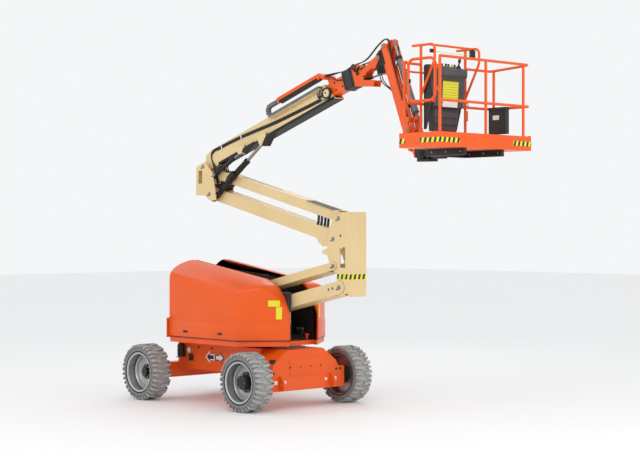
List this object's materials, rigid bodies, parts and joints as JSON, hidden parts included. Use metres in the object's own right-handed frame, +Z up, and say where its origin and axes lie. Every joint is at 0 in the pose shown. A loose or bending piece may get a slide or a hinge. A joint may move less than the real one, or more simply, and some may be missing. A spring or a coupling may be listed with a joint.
{
  "type": "articulating boom lift",
  "caption": "Self-propelled articulating boom lift with a folding tower, telescopic main boom, jib and rotating work platform.",
  "frame": {"origin": "on the ground under the middle of the slew ring", "axes": "+X towards the drive end and the way the boom reaches, +Y left, +Z up"},
  "size_m": [6.3953, 2.29, 5.196],
  "materials": {
    "orange": "gloss orange paint",
    "cream": "gloss cream paint",
    "black_paint": "satin black paint",
    "battery_case": "matt black battery cases",
    "black_plastic": "matt black plastic",
    "console_plastic": "dark grey moulded plastic",
    "rim_silver": "silver painted wheel disc",
    "tyre_grey": "grey non-marking rubber",
    "chrome": "chromed rod",
    "barrel_grey": "satin grey paint"
  },
  "bodies": {
    "chassis": {"chassis_frame": "orange", "steer_axle": "orange", "drive_motors": "black_paint", "slew_ring": "black_paint"},
    "turntable": {"turntable_base": "orange", "counterweight": "orange", "channel_liners": "black_paint", "battery_packs": "battery_case", "ground_control_box": "black_plastic"},
    "left_hood": {"hood_left": "orange"},
    "right_hood": {"hood_right": "orange"},
    "right_knuckle": {"knuckle_right": "black_paint"},
    "left_knuckle": {"knuckle_left": "black_paint"},
    "steering_link": {"tie_rod": "black_paint"},
    "front_right_wheel": {"tyre_front_right": "tyre_grey", "rim_front_right": "rim_silver", "hub_front_right": "black_paint"},
    "front_left_wheel": {"tyre_front_left": "tyre_grey", "rim_front_left": "rim_silver", "hub_front_left": "black_paint"},
    "rear_right_wheel": {"tyre_rear_right": "tyre_grey", "rim_rear_right": "rim_silver", "hub_rear_right": "black_paint"},
    "rear_left_wheel": {"tyre_rear_left": "tyre_grey", "rim_rear_left": "rim_silver", "hub_rear_left": "black_paint"},
    "tower_lower_arm": {"lower_arm": "cream"},
    "tower_lower_link": {"lower_link": "cream"},
    "tower_mid_upright": {"mid_upright": "cream"},
    "tower_upper_arm": {"upper_arm": "cream"},
    "tower_upper_link": {"upper_link": "cream"},
    "tower_upper_upright": {"upper_upright": "cream"},
    "tower_cylinder": {"tower_barrel": "black_paint"},
    "tower_cylinder_rod": {"tower_rod": "chrome"},
    "boom": {"main_boom": "cream"},
    "lift_cylinder": {"lift_barrel": "black_paint"},
    "lift_cylinder_rod": {"lift_rod": "chrome"},
    "level_cylinder": {"level_barrel": "black_paint"},
    "level_cylinder_rod": {"level_rod": "chrome"},
    "fly": {"fly_boom": "orange", "slave_barrel": "black_paint"},
    "carrier": {"cable_carrier": "black_plastic"},
    "slave_cylinder_rod": {"slave_rod": "chrome"},
    "jib_bracket": {"jib_base": "orange"},
    "jib_arm_pair": {"jib_arms": "orange"},
    "jib_link_pair": {"jib_links": "orange"},
    "jib_cylinder": {"jib_barrel": "barrel_grey"},
    "jib_cylinder_rod": {"jib_rod": "chrome"},
    "head": {"platform_head": "orange", "rotator": "black_paint"},
    "platform": {"platform_support": "black_paint", "platform_deck": "orange", "platform_rails": "orange", "console": "console_plastic", "document_box": "black_plastic"},
    "gate": {"platform_gate": "orange"}
  },
  "joints": [
    {"name": "turntable_swing", "type": "hinge", "parent": "chassis", "child": "turntable", "pos_m": [0, 0, 0.9], "axis": [0, 0, 1], "range_deg": [-177.5, 177.5]},
    {"name": "steer_right", "type": "hinge", "parent": "chassis", "child": "right_knuckle", "pos_m": [-1.17, -0.72, 0.424], "axis": [0, 0, 1], "range_deg": [-30, 30]},
    {"name": "steer_left", "type": "hinge", "parent": "chassis", "child": "left_knuckle", "pos_m": [-1.17, 0.72, 0.424], "axis": [0, 0, 1], "range_deg": [-30.5, 30.5]},
    {"name": "tie_rod_slide", "type": "slide", "parent": "chassis", "child": "steering_link", "axis": [0, 1, 0], "range_m": [-0.08, 0.08]},
    {"name": "front_right_spin", "type": "hinge", "parent": "chassis", "child": "front_right_wheel", "pos_m": [1.17, -0.98, 0.424], "axis": [0, 1, 0], "continuous": true},
    {"name": "front_left_spin", "type": "hinge", "parent": "chassis", "child": "front_left_wheel", "pos_m": [1.17, 0.98, 0.424], "axis": [0, 1, 0], "continuous": true},
    {"name": "rear_right_spin", "type": "hinge", "parent": "right_knuckle", "child": "rear_right_wheel", "pos_m": [-1.17, -0.98, 0.424], "axis": [0, 1, 0], "continuous": true},
    {"name": "rear_left_spin", "type": "hinge", "parent": "left_knuckle", "child": "rear_left_wheel", "pos_m": [-1.17, 0.98, 0.424], "axis": [0, 1, 0], "continuous": true},
    {"name": "left_hood_open", "type": "hinge", "parent": "turntable", "child": "left_hood", "pos_m": [0.05, 0.276, 1.985], "axis": [0.988, 0, -0.1548], "range_deg": [0, 60]},
    {"name": "right_hood_open", "type": "hinge", "parent": "turntable", "child": "right_hood", "pos_m": [0.05, -0.276, 1.985], "axis": [-0.988, 0, 0.1548], "range_deg": [0, 60]},
    {"name": "tower_lift", "type": "hinge", "parent": "turntable", "child": "tower_lower_arm", "pos_m": [-0.635, 0, 1.476], "axis": [0, -1, 0], "range_deg": [-13.4, 57]},
    {"name": "lower_link_turn", "type": "hinge", "parent": "turntable", "child": "tower_lower_link", "pos_m": [-0.515, 0, 1.174], "axis": [0, -1, 0], "range_deg": [-14, 58]},
    {"name": "mid_upright_turn", "type": "hinge", "parent": "tower_lower_arm", "child": "tower_mid_upright", "pos_m": [2.09968, 0, 2.07726], "axis": [0, -1, 0], "range_deg": [-58, 14]},
    {"name": "upper_arm_turn", "type": "hinge", "parent": "tower_mid_upright", "child": "tower_upper_arm", "pos_m": [2.19, 0, 2.75], "axis": [0, -1, 0], "range_deg": [-58, 14]},
    {"name": "upper_link_turn", "type": "hinge", "parent": "tower_mid_upright", "child": "tower_upper_link", "pos_m": [2.082, 0, 2.46], "axis": [0, -1, 0], "range_deg": [-58, 14]},
    {"name": "upper_upright_turn", "type": "hinge", "parent": "tower_upper_arm", "child": "tower_upper_upright", "pos_m": [-0.52683, 0, 3.42738], "axis": [0, -1, 0], "range_deg": [-14, 58]},
    {"name": "tower_cylinder_turn", "type": "hinge", "parent": "turntable", "child": "tower_cylinder", "pos_m": [-0.14, -0.225, 1.03], "axis": [0, -1, 0], "range_deg": [-16, 64]},
    {"name": "tower_rod_slide", "type": "slide", "parent": "tower_cylinder", "child": "tower_cylinder_rod", "axis": [0.8863, 0, 0.4631], "range_m": [-0.1, 0.39]},
    {"name": "main_boom_lift", "type": "hinge", "parent": "tower_upper_upright", "child": "boom", "pos_m": [-0.787, 0, 3.563], "axis": [0, -1, 0], "range_deg": [-17, 56.5]},
    {"name": "lift_cylinder_turn", "type": "hinge", "parent": "tower_upper_upright", "child": "lift_cylinder", "pos_m": [-0.6, -0.12, 3.06], "axis": [0, -1, 0], "range_deg": [-15, 48]},
    {"name": "lift_rod_slide", "type": "slide", "parent": "lift_cylinder", "child": "lift_cylinder_rod", "axis": [0.8142, 0, 0.5806], "range_m": [-0.14, 0.44]},
    {"name": "level_cylinder_turn", "type": "hinge", "parent": "tower_upper_upright", "child": "level_cylinder", "pos_m": [-0.64, -0.12, 3.39], "axis": [0, -1, 0], "range_deg": [-17, 55]},
    {"name": "level_rod_slide", "type": "slide", "parent": "level_cylinder", "child": "level_cylinder_rod", "axis": [0.8819, 0, 0.4715], "range_m": [-0.07, 0.22]},
    {"name": "fly_extend", "type": "slide", "parent": "boom", "child": "fly", "axis": [0.9483, 0, 0.3173], "range_m": [0, 1.5]},
    {"name": "carrier_slide", "type": "slide", "parent": "boom", "child": "carrier", "axis": [0.9483, 0, 0.3173], "range_m": [0, 0.76]},
    {"name": "slave_rod_slide", "type": "slide", "parent": "fly", "child": "slave_cylinder_rod", "axis": [0.9868, 0, 0.1621], "range_m": [-0.24, 0.08]},
    {"name": "jib_base_level", "type": "hinge", "parent": "fly", "child": "jib_bracket", "pos_m": [2.874, 0, 4.959], "axis": [0, -1, 0], "range_deg": [-57.5, 18]},
    {"name": "jib_lift", "type": "hinge", "parent": "jib_bracket", "child": "jib_arm_pair", "pos_m": [3.055, 0, 5.1], "axis": [0, -1, 0], "range_deg": [-1, 144]},
    {"name": "jib_link_turn", "type": "hinge", "parent": "jib_bracket", "child": "jib_link_pair", "pos_m": [3.07, 0, 4.84], "axis": [0, -1, 0], "range_deg": [-1.5, 145]},
    {"name": "head_level", "type": "hinge", "parent": "jib_arm_pair", "child": "head", "pos_m": [3.49938, 0, 3.94236], "axis": [0, -1, 0], "range_deg": [-145, 1.5]},
    {"name": "jib_cylinder_turn", "type": "hinge", "parent": "jib_arm_pair", "child": "jib_cylinder", "pos_m": [3.57271, 0, 4.10012], "axis": [0, -1, 0], "range_deg": [-0.5, 9]},
    {"name": "jib_rod_slide", "type": "slide", "parent": "jib_cylinder", "child": "jib_cylinder_rod", "axis": [-0.386, 0, 0.9225], "range_m": [-0.1, 0.01]},
    {"name": "platform_rotate", "type": "hinge", "parent": "head", "child": "platform", "pos_m": [3.68, 0, 3.685], "axis": [0, 0, 1], "range_deg": [-90, 90]},
    {"name": "gate_open", "type": "hinge", "parent": "platform", "child": "gate", "pos_m": [4.74, -0.881, 4.5], "axis": [0, 0, -1], "range_deg": [0, 90]}
  ],
  "couplings": [
    {"joint": "steer_left", "follows": "steer_right", "ratio": 1},
    {"joint": "tie_rod_slide", "follows": "steer_right", "m_per_rad": -0.15},
    {"joint": "lower_link_turn", "follows": "tower_lift", "ratio": 1},
    {"joint": "mid_upright_turn", "follows": "tower_lift", "ratio": -1},
    {"joint": "upper_arm_turn", "follows": "tower_lift", "ratio": -1},
    {"joint": "upper_link_turn", "follows": "tower_lift", "ratio": -1},
    {"joint": "upper_upright_turn", "follows": "tower_lift", "ratio": 1},
    {"joint": "tower_cylinder_turn", "follows": "tower_lift", "ratio": 1.1},
    {"joint": "tower_rod_slide", "follows": "tower_lift", "m_per_rad": 0.379},
    {"joint": "lift_cylinder_turn", "follows": "main_boom_lift", "ratio": 0.82},
    {"joint": "lift_rod_slide", "follows": "main_boom_lift", "m_per_rad": 0.43},
    {"joint": "level_cylinder_turn", "follows": "main_boom_lift", "ratio": 0.96},
    {"joint": "level_rod_slide", "follows": "main_boom_lift", "m_per_rad": 0.21},
    {"joint": "carrier_slide", "follows": "fly_extend", "ratio": 0.5},
    {"joint": "slave_rod_slide", "follows": "main_boom_lift", "m_per_rad": -0.236},
    {"joint": "jib_base_level", "follows": "main_boom_lift", "ratio": -1},
    {"joint": "jib_link_turn", "follows": "jib_lift", "ratio": 1},
    {"joint": "head_level", "follows": "jib_lift", "ratio": -1},
    {"joint": "jib_cylinder_turn", "follows": "jib_lift", "ratio": 0.057},
    {"joint": "jib_rod_slide", "follows": "jib_lift", "m_per_rad": -0.035}
  ]
}
